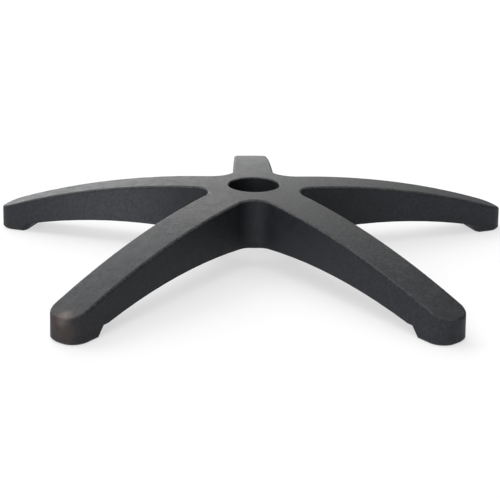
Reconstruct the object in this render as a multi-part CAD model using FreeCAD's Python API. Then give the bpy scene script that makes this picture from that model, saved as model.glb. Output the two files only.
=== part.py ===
"""Five-star base of an office swivel chair.

The base is one moulding in black glass-filled nylon. Five tapered legs run out from a hub under one shallow
crown and end in rounded feet. The underside is open: a thin skin and side walls are stiffened by crossed
ribs, a thick tube in the hub takes the gas column, and each foot holds a blind socket for a caster stem.
"""

import FreeCAD
import Part

import math
import os

# Whole base, heights from the floor
LEG_COUNT = 5
REACH = 279.0  # axis of the column to the far end of a leg
HEIGHT = 70.2  # floor to the crown over the axis
TIP_HEIGHT = 22.0  # floor to the crown at the far end of a leg
FIRST_LEG_DEG = 90.0  # one leg points along +Y

# Legs in plan, at the floor
LEG_WIDTH_ROOT = 50.2  # carried on to the axis
LEG_WIDTH_TIP = 37.4
VALLEY_R = 16.0  # rounding between neighbouring legs
TIP_FLAT = 4.0  # straight stretch between the round corners at the end of a leg
DRAFT_DEG = 2.5
TOP_EDGE_R = 2.5

# Moulded walls
WALL = 4.0
SKIN = 4.5
RIB = 3.0
RIB_RECESS = 4.0  # ribs stop about this far above the rim of the side walls
RIB_BAYS = 4  # crossed ribs along each leg

# Lower rim of the side walls, heights from the floor
RIM_HUB = 20.0
RIM_MID = 23.6
RIM_FOOT = 9.6

# Column socket in the hub
COLUMN_D = 50.0
COLUMN_CLEARANCE = 0.2  # radial
COLUMN_LAND = 12.0  # straight stretch below the lip
COLUMN_TAPER_DEG = 1.438
COLUMN_LIP = 1.0  # chamfer
HUB_TUBE_WALL = 8.0

# Feet and caster sockets
SOCKET_INSET = 19.0  # socket axis to the end of the leg
STEM_D = 11.0
STEM_CLEARANCE = 0.1  # radial
STEM_LENGTH = 22.0
STEM_END_GAP = 1.0
SOCKET_CHAMFER = 0.8
FOOT_LENGTH = 40.0  # at the rim
FOOT_LEAN_DEG = 40.0  # the end of a foot towards the hub, from upright
FOOT_CORNER_R = 9.0  # rounding of the two corners towards the hub
FOOT_CHAMFER = 2.0

# How far cutting and trimming shapes reach past the base
MARGIN = 10.0
EDGE_TOLERANCE = 0.001

Z_AXIS = FreeCAD.Vector(0, 0, 1)
ORIGIN = FreeCAD.Vector(0, 0, 0)
HALF_SECTOR = math.pi / LEG_COUNT
LEG_STEP_DEG = 360.0 / LEG_COUNT

crown_drop = HEIGHT - TIP_HEIGHT
crown_radius = (REACH**2 + crown_drop**2) / (2 * crown_drop)
crown_centre = HEIGHT - crown_radius
tip_radius = (LEG_WIDTH_TIP - TIP_FLAT) / 2
bore_radius = COLUMN_D / 2 + COLUMN_CLEARANCE
hub_tube_radius = bore_radius + HUB_TUBE_WALL
socket_radius = STEM_D / 2 + STEM_CLEARANCE
socket_depth = STEM_LENGTH + STEM_END_GAP
socket_reach = REACH - SOCKET_INSET
foot_start = REACH - FOOT_LENGTH
sole_start = foot_start + RIM_FOOT * math.tan(math.radians(FOOT_LEAN_DEG))
outer_limit = REACH + MARGIN
mouth_height = crown_centre + math.sqrt(crown_radius**2 - (bore_radius + COLUMN_LIP) ** 2) - COLUMN_LIP


def point(x, y, z):
    return FreeCAD.Vector(x, y, z)


def crown_height(radius, depth=0.0):
    """Height of the crown, or of a surface that lies depth under it, at a distance from the axis."""
    return crown_centre + math.sqrt((crown_radius - depth) ** 2 - radius**2)


def half_width(along, offset=0.0):
    """Half the width of a leg at a distance along it, with the sides moved out by offset."""
    slope = (LEG_WIDTH_TIP - LEG_WIDTH_ROOT) / 2 / REACH
    return LEG_WIDTH_ROOT / 2 + slope * along + offset * math.hypot(1, slope)


def draft_offset(height):
    """The walls lean in from the floor to the crown, so that the moulding leaves its mould."""
    return -height * math.tan(math.radians(DRAFT_DEG))


def rounded_polygon(corners, radii):
    """A closed wire of straight sides with a tangent arc at every corner."""
    starts, arcs = [], []
    count = len(corners)
    for index, (corner, radius) in enumerate(zip(corners, radii)):
        before = (corners[index - 1] - corner).normalize()
        after = (corners[(index + 1) % count] - corner).normalize()
        half_angle = before.getAngle(after) / 2
        tangent = radius / math.tan(half_angle)
        middle = (before + after).normalize()
        crest = corner + middle * (radius / math.sin(half_angle) - radius)
        start, end = corner + before * tangent, corner + after * tangent
        starts.append(start)
        arcs.append((Part.Arc(start, crest, end).toShape(), end))
    edges = []
    for index, (arc, end) in enumerate(arcs):
        edges.append(arc)
        edges.append(Part.LineSegment(end, starts[(index + 1) % count]).toShape())
    return Part.Wire(edges)


def star_outline(offset, height):
    """The plan of hub and legs at one height, with every side moved out by offset."""
    slope = (LEG_WIDTH_TIP - LEG_WIDTH_ROOT) / 2 / REACH
    valley = half_width(0, offset) / (math.sin(HALF_SECTOR) - slope * math.cos(HALF_SECTOR))
    end = REACH + offset
    corners, radii = [], []
    for leg in range(LEG_COUNT):
        direction = math.radians(leg * LEG_STEP_DEG)
        along = point(math.cos(direction), math.sin(direction), 0)
        across = point(-math.sin(direction), math.cos(direction), 0)
        lift = point(0, 0, height)
        side = half_width(end, offset)
        bisector = direction + HALF_SECTOR
        corners.append(lift + along * end - across * side)
        corners.append(lift + along * end + across * side)
        corners.append(lift + point(math.cos(bisector), math.sin(bisector), 0) * valley)
        radii += [tip_radius + offset, tip_radius + offset, VALLEY_R - offset]
    return rounded_polygon(corners, radii)


def star_prism(low, high, inset=0.0):
    """The drafted star between two heights, with its walls moved in by inset."""
    outlines = [star_outline(draft_offset(height) - inset, height) for height in (low, high)]
    return Part.makeLoft(outlines, True, True)


def revolved(edges):
    """A solid of revolution about the axis of the base from a closed profile in the XZ plane."""
    return Part.Face(Part.Wire(edges)).revolve(ORIGIN, Z_AXIS, 360)


def lines_through(points):
    return [Part.LineSegment(a, b).toShape() for a, b in zip(points, points[1:])]


def under_crown():
    """Everything below the crown."""
    top = point(0, 0, HEIGHT)
    middle = point(outer_limit / 2, 0, crown_height(outer_limit / 2))
    edge = point(outer_limit, 0, crown_height(outer_limit))
    arc = Part.Arc(edge, middle, top).toShape()
    return revolved([*lines_through([top, point(0, 0, -MARGIN), point(outer_limit, 0, -MARGIN), edge]), arc])


def leg_share(edges):
    """A closed profile along the leg on +X, spread over that leg's share of the base."""
    spread = outer_limit * math.tan(HALF_SECTOR)
    profile = Part.Face(Part.Wire(edges))
    profile.translate(point(0, -spread, 0))
    sides = [point(outer_limit, -spread, -MARGIN), point(outer_limit, spread, -MARGIN)]
    wedge = Part.Face(Part.makePolygon([point(0, 0, -MARGIN), *sides, point(0, 0, -MARGIN)]))
    return profile.extrude(point(0, 2 * spread, 0)).common(wedge.extrude(point(0, 0, HEIGHT + 2 * MARGIN)))


def bay_ends():
    """Distances along a leg where its bays of crossed ribs begin and end."""
    bay = (foot_start - hub_tube_radius) / RIB_BAYS
    return [hub_tube_radius + index * bay for index in range(RIB_BAYS + 1)]


def under_rim():
    """Everything below one leg's arched rim."""
    start, end = bay_ends()[0], bay_ends()[-1]
    hub = point(start, 0, RIM_HUB)
    middle = point((start + end) / 2, 0, RIM_MID)
    foot = point(end, 0, RIM_FOOT)
    outer = [foot, point(outer_limit, 0, RIM_FOOT), point(outer_limit, 0, -MARGIN)]
    inner = [point(0, 0, -MARGIN), point(0, 0, RIM_HUB), hub]
    return leg_share([Part.Arc(hub, middle, foot).toShape(), *lines_through([*outer, *inner])])


def under_ribs():
    """Everything below the straight lower edges of one leg's ribs."""
    start, end = bay_ends()[0], bay_ends()[-1]
    level = RIM_MID + RIB_RECESS
    edge = [point(0, 0, level), point((start + end) / 2, 0, level), point(end, 0, RIM_FOOT + RIB_RECESS)]
    rest = [point(outer_limit, 0, edge[-1].z), point(outer_limit, 0, -MARGIN), point(0, 0, -MARGIN)]
    return leg_share(lines_through([*edge, *rest, edge[0]]))


def under_skin():
    """Everything below the inner side of one leg's skin, which is flat over each bay."""
    roof = [point(along, 0, crown_height(along, SKIN)) for along in (0, *bay_ends(), outer_limit)]
    rest = [point(outer_limit, 0, -MARGIN), point(0, 0, -MARGIN)]
    return leg_share(lines_through([*roof, *rest, roof[0]]))


def around(shape):
    """Copies of a shape made on +X, turned into the place of every leg."""
    copies = []
    for leg in range(LEG_COUNT):
        copy = shape.copy()
        copy.rotate(ORIGIN, Z_AXIS, leg * LEG_STEP_DEG)
        copies.append(copy)
    return copies


def foot_plan(start, height):
    """The plan of one foot at one height: as wide as the leg, with round corners towards the hub."""
    side = half_width(foot_start)
    inner = [point(start, side, height), point(start, -side, height)]
    outer = [point(outer_limit, -side, height), point(outer_limit, side, height)]
    return rounded_polygon([*inner, *outer], [FOOT_CORNER_R] * 4)


def foot_blank(lean_deg=0.0):
    """One foot, as tall as the base, with its end towards the hub upright or leaning out over the floor."""
    plans = []
    for height in (-MARGIN, HEIGHT + MARGIN):
        plans.append(foot_plan(foot_start + (RIM_FOOT - height) * math.tan(math.radians(lean_deg)), height))
    return Part.makeLoft(plans, True, True)


def outer_form():
    """The outside of the base: crowned star, arched rim and rounded feet, still solid inside."""
    star = star_prism(-MARGIN, HEIGHT + MARGIN).common(under_crown())
    star = star.cut(Part.makeBox(4 * REACH, 4 * REACH, MARGIN, point(-2 * REACH, -2 * REACH, -MARGIN)))
    crown = next(face for face in star.Faces if isinstance(face.Surface, Part.Sphere))
    star = star.makeFillet(TOP_EDGE_R, crown.OuterWire.Edges)
    star = star.cut(around(under_rim().cut(foot_blank(FOOT_LEAN_DEG))))
    soles = [edge for edge in star.Edges if abs(edge.BoundBox.ZMax) < EDGE_TOLERANCE]
    round_end = sole_start + FOOT_CORNER_R / 2
    return star.makeChamfer(FOOT_CHAMFER, [edge for edge in soles if edge.CenterOfMass.Length > round_end])


def column_socket():
    """The column drops through a straight stretch under a chamfered mouth and jams in the taper below."""
    land_end = mouth_height - COLUMN_LAND
    taper = (land_end + MARGIN) * math.tan(math.radians(COLUMN_TAPER_DEG))
    profile = [
        point(bore_radius + MARGIN, 0, mouth_height + MARGIN),
        point(bore_radius, 0, mouth_height),
        point(bore_radius, 0, land_end),
        point(bore_radius - taper, 0, -MARGIN),
        point(0, 0, -MARGIN),
        point(0, 0, mouth_height + MARGIN),
    ]
    return revolved(lines_through([*profile, profile[0]]))


def upright_plate(start, end):
    """A rib as tall as the base between two points of the plan."""
    run = end - start
    plate = Part.makeBox(run.Length, RIB, HEIGHT + 2 * MARGIN, point(0, -RIB / 2, -MARGIN))
    plate.rotate(ORIGIN, Z_AXIS, math.degrees(math.atan2(run.y, run.x)))
    plate.translate(start)
    return plate


def ribs():
    """Crossed ribs in every bay of one leg, and the ribs from the hub tube into the valleys beside it."""
    ends = bay_ends()
    plates = []
    for side in (-1, 1):
        for near, far in zip(ends, ends[1:]):
            start = point(near, side * half_width(near), 0)
            plates.append(upright_plate(start, point(far, -side * half_width(far), 0)))
        valley = upright_plate(point(bore_radius, 0, 0), point(hub_tube_radius + LEG_WIDTH_ROOT, 0, 0))
        valley.rotate(ORIGIN, Z_AXIS, side * LEG_STEP_DEG / 2)
        plates.append(valley)
    return plates[0].multiFuse(plates[1:]).cut(under_ribs())


def leg_hollows():
    """The open spaces under one leg, between skin, walls, hub tube, foot and ribs."""
    space = under_skin().common(star_prism(-MARGIN, HEIGHT + MARGIN, WALL))
    tube = Part.makeCylinder(hub_tube_radius, HEIGHT + 2 * MARGIN, point(0, 0, -MARGIN))
    return space.cut([tube, foot_blank()]).cut(ribs())


def caster_socket():
    """A blind hole up into a foot, opened out at the floor for the stem of the caster."""
    hole = Part.makeCylinder(socket_radius, socket_depth, point(socket_reach, 0, 0))
    mouth_radius = socket_radius + SOCKET_CHAMFER
    mouth = Part.makeCone(mouth_radius, socket_radius, SOCKET_CHAMFER, point(socket_reach, 0, 0))
    return hole.fuse(mouth)


body = outer_form().cut(column_socket())
body = body.cut(around(leg_hollows()))
body = body.cut(around(caster_socket()))
body = body.Solids[0]

# The origin of the base is the mouth of the column socket, where its straight wall meets the lip.
body.translate(point(0, 0, -mouth_height))
body.rotate(ORIGIN, Z_AXIS, FIRST_LEG_DEG)

os.makedirs("parts", exist_ok=True)
body.exportStep("parts/star_base.step")
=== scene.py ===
import math

import bpy
from mathutils import Matrix, Vector


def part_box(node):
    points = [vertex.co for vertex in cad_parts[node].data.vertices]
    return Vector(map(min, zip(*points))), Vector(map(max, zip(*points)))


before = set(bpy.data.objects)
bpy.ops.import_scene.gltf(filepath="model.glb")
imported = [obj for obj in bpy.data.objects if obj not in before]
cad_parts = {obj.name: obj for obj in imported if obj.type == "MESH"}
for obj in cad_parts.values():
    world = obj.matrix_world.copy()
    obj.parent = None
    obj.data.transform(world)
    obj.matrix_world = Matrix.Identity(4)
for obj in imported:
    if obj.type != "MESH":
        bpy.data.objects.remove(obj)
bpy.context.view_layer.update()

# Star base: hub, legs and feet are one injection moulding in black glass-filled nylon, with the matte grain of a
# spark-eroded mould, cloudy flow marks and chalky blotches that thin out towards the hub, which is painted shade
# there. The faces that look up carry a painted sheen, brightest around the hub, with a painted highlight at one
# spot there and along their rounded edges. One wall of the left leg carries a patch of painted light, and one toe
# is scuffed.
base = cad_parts["star_base"]
NYLON_BLACK = (0.0050, 0.0054, 0.0080, 1)
CHALKY_BLACK = (0.0215, 0.0230, 0.0280, 1)
# Painted sheen of the faces that look up:
PAINTED_SHEEN_GREY = (0.0600, 0.0600, 0.0550, 1)
# Painted highlight along the rounded top edges:
EDGE_HIGHLIGHT_GREY = (0.0640, 0.0640, 0.0610, 1)
# Painted light on the wall of the left leg:
PAINTED_WALL_LIGHT_GREY = (0.0440, 0.0460, 0.0520, 1)
SCUFF_BROWN = (0.0400, 0.0250, 0.0220, 1)
BRUISE_PALE = (0.2000, 0.1600, 0.1500, 1)
HUB_MIDDLE = (0.0, 0.0, 0.0)
# How far the painted sheen and edge highlight reach from the hub, and how far the painted shade on the walls
# reaches:
HUB_LIGHT_REACH, HUB_SHADE_REACH = 0.33, 0.22
# A painted highlight on the hub's top, to the front left:
HIGHLIGHT_SPOT, HIGHLIGHT_REACH = (-0.050, -0.060, 0.0), 0.060
# A patch of painted light low on the left leg's wall:
WALL_LIGHT_SPOT, WALL_LIGHT_REACH = (-0.135, 0.025, -0.030), 0.130
SCUFF_SPOT, SCUFF_REACH = (-0.163, -0.224, -0.056), 0.030
BRUISE_SPOT, BRUISE_REACH = (-0.1573, -0.2219, -0.0485), 0.010
PITS_PER_METRE, SPECKS_PER_METRE, CLOUDS_PER_METRE = 900.0, 330.0, 110.0
GRAIN_DEPTH = 0.0003

nylon = bpy.data.materials.new("black_nylon")
nylon.use_nodes = True
nodes, links = nylon.node_tree.nodes, nylon.node_tree.links
skin = nodes["Principled BSDF"]
skin.inputs["IOR"].default_value = 1.45
skin.inputs["Specular Tint"].default_value = (0.94, 0.965, 1.0, 1)
place = nodes.new("ShaderNodeTexCoord")


def mottle(features_per_metre, detail, roughness):
    """Cloudy noise through the moulding, from 0 to 1, with about so many patches in a metre."""
    noise = nodes.new("ShaderNodeTexNoise")
    noise.inputs["Scale"].default_value = features_per_metre
    noise.inputs["Detail"].default_value = detail
    noise.inputs["Roughness"].default_value = roughness
    links.new(place.outputs["Object"], noise.inputs["Vector"])
    return noise.outputs["Fac"]


def stretched(value, low, high, to_low, to_high):
    """The value's range from low to high, spread smoothly over another range and held at its ends."""
    ramp = nodes.new("ShaderNodeMapRange")
    ramp.interpolation_type = "SMOOTHSTEP"
    links.new(value, ramp.inputs["Value"])
    limits = {"From Min": low, "From Max": high, "To Min": to_low, "To Max": to_high}
    for socket, number in limits.items():
        ramp.inputs[socket].default_value = number
    return ramp.outputs["Result"]


def combined(operation, first, second):
    """Two values added or multiplied."""
    result = nodes.new("ShaderNodeMath")
    result.operation = operation
    links.new(first, result.inputs[0])
    links.new(second, result.inputs[1])
    return result.outputs["Value"]


def toned(amount, first, second):
    """Two colours, each a socket or a fixed value: the first, turned into the second by the amount."""
    mix = nodes.new("ShaderNodeMix")
    mix.data_type = "RGBA"
    links.new(amount, mix.inputs["Factor"])
    for name, tone in (("A", first), ("B", second)):
        if isinstance(tone, tuple):
            mix.inputs[name].default_value = tone
        else:
            links.new(tone, mix.inputs[name])
    return mix.outputs["Result"]


def near(spot, radius):
    """One at a spot on the moulding, falling smoothly to none at a radius from it."""
    gap = nodes.new("ShaderNodeVectorMath")
    gap.operation = "DISTANCE"
    gap.inputs[1].default_value = spot
    links.new(place.outputs["Object"], gap.inputs[0])
    return stretched(gap.outputs["Value"], 0.0, radius, 1.0, 0.0)


pits = mottle(PITS_PER_METRE, 2.0, 0.6)
specks = mottle(SPECKS_PER_METRE, 3.0, 0.65)
clouds = mottle(CLOUDS_PER_METRE, 5.0, 0.65)
cloudy = stretched(clouds, 0.35, 0.65, 0.35, 1.0)
blotches = combined("MULTIPLY", cloudy, stretched(specks, 0.37, 0.63, 0.26, 1.0))

facing = nodes.new("ShaderNodeSeparateXYZ")
links.new(place.outputs["Normal"], facing.inputs["Vector"])
upwards = facing.outputs["Z"]
level_top = stretched(upwards, 0.3, 0.95, 0.0, 1.0)
upright_wall = stretched(upwards, 0.1, 0.4, 1.0, 0.0)
off_wall = stretched(upwards, 0.25, 0.6, 0.0, 1.0)
off_top = stretched(upwards, 0.75, 0.93, 1.0, 0.0)
round_edge = combined("MULTIPLY", off_wall, off_top)

# Chalky blotches, partly real tone and partly painted shade: they fade out towards the hub, so the moulding stays
# darker there, where the legs shade the walls.
chalk_and_shade_share = stretched(near(HUB_MIDDLE, HUB_SHADE_REACH), 0.0, 0.8, 1.0, 0.15)
chalk_and_painted_shade = combined("MULTIPLY", blotches, chalk_and_shade_share)
# Painted light on the upright walls of the left leg, broken up by the specks:
wall_light_mask = combined("MULTIPLY", near(WALL_LIGHT_SPOT, WALL_LIGHT_REACH), upright_wall)
painted_wall_light = combined("MULTIPLY", wall_light_mask, stretched(specks, 0.3, 0.7, 0.5, 1.0))
tone_with_painted_wall_light_and_shade = toned(painted_wall_light, toned(chalk_and_painted_shade, NYLON_BLACK, CHALKY_BLACK), PAINTED_WALL_LIGHT_GREY)

# Painted sheen on the faces that look up, brightest around the hub, with a painted highlight at one spot:
painted_light_near_hub = stretched(near(HUB_MIDDLE, HUB_LIGHT_REACH), 0.0, 1.0, 0.35, 1.0)
painted_highlight_spot = stretched(near(HIGHLIGHT_SPOT, HIGHLIGHT_REACH), 0.0, 1.0, 0.0, 0.9)
painted_top_sheen = combined("MULTIPLY", level_top, combined("ADD", painted_light_near_hub, painted_highlight_spot))
painted_sheen = combined("MULTIPLY", painted_top_sheen, blotches)
# Painted highlight along the rounded top edges, fading away from the hub and broken up by the specks:
hub_edge_highlight = combined("MULTIPLY", round_edge, painted_light_near_hub)
painted_edge_highlight = combined("MULTIPLY", hub_edge_highlight, stretched(specks, 0.35, 0.65, 0.2, 1.0))
tone_with_painted_light = toned(painted_edge_highlight, toned(painted_sheen, tone_with_painted_wall_light_and_shade, PAINTED_SHEEN_GREY), EDGE_HIGHLIGHT_GREY)

scuffed = combined("MULTIPLY", near(SCUFF_SPOT, SCUFF_REACH), stretched(clouds, 0.35, 0.6, 0.2, 1.0))
bruised = combined("MULTIPLY", near(BRUISE_SPOT, BRUISE_REACH), stretched(specks, 0.3, 0.6, 0.4, 1.0))
links.new(toned(bruised, toned(scuffed, tone_with_painted_light, SCUFF_BROWN), BRUISE_PALE), skin.inputs["Base Color"])

fine_matte = stretched(specks, 0.25, 0.75, 0.59, 0.67)
cloudy_matte = stretched(clouds, 0.35, 0.65, -0.045, 0.065)
links.new(combined("ADD", fine_matte, cloudy_matte), skin.inputs["Roughness"])

grain = nodes.new("ShaderNodeBump")
grain.inputs["Strength"].default_value = 0.8
grain.inputs["Distance"].default_value = GRAIN_DEPTH
links.new(combined("ADD", pits, specks), grain.inputs["Height"])
links.new(grain.outputs["Normal"], skin.inputs["Normal"])

base.data.materials.clear()
base.data.materials.append(nylon)

# Floor: a sheet of white studio paper under the base, which runs on past the picture on every side. The eye
# and reflections see it partly as white of its own, so that the shadow of the base stays pale.
floor_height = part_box("star_base")[0].z
PAPER_HALF = 8.0
PAPER_WHITE = (0.95, 0.95, 0.95, 1)
PLAIN_SHARE = 0.6
corners = [(PAPER_HALF * x, PAPER_HALF * y) for x, y in ((-1, -1), (1, -1), (1, 1), (-1, 1))]
floor_mesh = bpy.data.meshes.new("floor")
floor_mesh.from_pydata([(x, y, floor_height) for x, y in corners], [], [(0, 1, 2, 3)])
floor = bpy.data.objects.new("floor", floor_mesh)
bpy.context.scene.collection.objects.link(floor)

paper = bpy.data.materials.new("white_paper")
paper.use_nodes = True
paper_nodes, paper_links = paper.node_tree.nodes, paper.node_tree.links
sheet = paper_nodes["Principled BSDF"]
sheet.inputs["Base Color"].default_value = PAPER_WHITE
sheet.inputs["Roughness"].default_value = 1.0
sheet.inputs["Specular IOR Level"].default_value = 0.0
plain_white = paper_nodes.new("ShaderNodeEmission")
ray = paper_nodes.new("ShaderNodeLightPath")


def paper_math(operation, first, second):
    """Two values, the second a socket or a number: the larger of the two, or their product."""
    result = paper_nodes.new("ShaderNodeMath")
    result.operation = operation
    paper_links.new(first, result.inputs[0])
    if isinstance(second, float):
        result.inputs[1].default_value = second
    else:
        paper_links.new(second, result.inputs[1])
    return result.outputs["Value"]


mirrored = paper_math("MAXIMUM", ray.outputs["Is Glossy Ray"], ray.outputs["Is Transmission Ray"])
seen = paper_math("MAXIMUM", ray.outputs["Is Camera Ray"], mirrored)
blend = paper_nodes.new("ShaderNodeMixShader")
paper_links.new(paper_math("MULTIPLY", seen, PLAIN_SHARE), blend.inputs["Fac"])
paper_links.new(sheet.outputs["BSDF"], blend.inputs[1])
paper_links.new(plain_white.outputs["Emission"], blend.inputs[2])
paper_links.new(blend.outputs["Shader"], paper_nodes["Material Output"].inputs["Surface"])
floor_mesh.materials.append(paper)

# Studio light: a room with two soft windows behind the base and a little to its left, a white wall in front on
# the left, a soft lamp high on the left and a pale ceiling. All of it is far away, so it is the world itself, and
# past the edge of the paper the eye sees plain white.
world = bpy.data.worlds.new("surround")
bpy.context.scene.world = world
world.use_nodes = True
wall_nodes, wall_links = world.node_tree.nodes, world.node_tree.links
direction = wall_nodes.new("ShaderNodeTexCoord")


def brightening(towards, start, brightness):
    """Light from one side: none where the cosine to that side is below start, then a smooth rise to brightness."""
    cosine = wall_nodes.new("ShaderNodeVectorMath")
    cosine.operation = "DOT_PRODUCT"
    cosine.inputs[1].default_value = Vector(towards).normalized()
    wall_links.new(direction.outputs["Generated"], cosine.inputs[0])
    rise = wall_nodes.new("ShaderNodeMapRange")
    rise.interpolation_type = "SMOOTHSTEP"
    rise.inputs["From Min"].default_value = start
    rise.inputs["To Max"].default_value = brightness
    wall_links.new(cosine.outputs["Value"], rise.inputs["Value"])
    return rise.outputs["Result"]


def both(first, second):
    """Two lights together: their sum."""
    total = wall_nodes.new("ShaderNodeMath")
    wall_links.new(first, total.inputs[0])
    wall_links.new(second, total.inputs[1])
    return total.outputs["Value"]


low_window = brightening((-0.240, 0.965, 0.105), 0.85, 3.4)
high_window = brightening((-0.251, 0.820, 0.515), 0.82, 2.3)
white_wall = brightening((-0.430, -0.890, 0.174), 0.75, 2.6)
soft_lamp = brightening((-0.680, 0.300, 0.665), 0.90, 3.6)
ceiling = brightening((0.0, 0.0, 1.0), 0.6, 1.55)
room = both(both(low_window, high_window), both(both(white_wall, soft_lamp), ceiling))
glance = wall_nodes.new("ShaderNodeLightPath")
backdrop = wall_nodes.new("ShaderNodeMix")
backdrop.inputs["B"].default_value = 1.0
wall_links.new(glance.outputs["Is Camera Ray"], backdrop.inputs["Factor"])
wall_links.new(room, backdrop.inputs["A"])
wall_links.new(backdrop.outputs["Result"], wall_nodes["Background"].inputs["Strength"])
wall_nodes["Background"].inputs["Color"].default_value = (1, 1, 1, 1)

# Camera: the photograph's own viewpoint, a metre away and a little above the hub. The lens follows from a focal
# length of 1100 pixels in a picture 500 pixels wide.
SENSOR_WIDTH, FOCAL_PIXELS, PICTURE_PIXELS = 36.0, 1100, 500
eye = Vector((-0.02534, -1.04804, 0.37888 + floor_height))
pitch, turn, roll = math.radians(-19.8414), math.radians(1.2029), math.radians(0.5779)
ahead = Vector((math.sin(turn) * math.cos(pitch), math.cos(turn) * math.cos(pitch), math.sin(pitch)))
level = Vector((math.cos(turn), -math.sin(turn), 0))
above = level.cross(ahead)
right = math.cos(roll) * level + math.sin(roll) * above
up = math.cos(roll) * above - math.sin(roll) * level
camera = bpy.data.objects.new("camera", bpy.data.cameras.new("camera"))
bpy.context.scene.collection.objects.link(camera)
camera.matrix_world = Matrix.Translation(eye) @ Matrix((right, up, -ahead)).transposed().to_4x4()
camera.data.sensor_width = SENSOR_WIDTH
camera.data.lens = SENSOR_WIDTH * FOCAL_PIXELS / PICTURE_PIXELS
camera.data.clip_end = 50.0
bpy.context.scene.camera = camera
bpy.context.scene.view_settings.view_transform = "Standard"
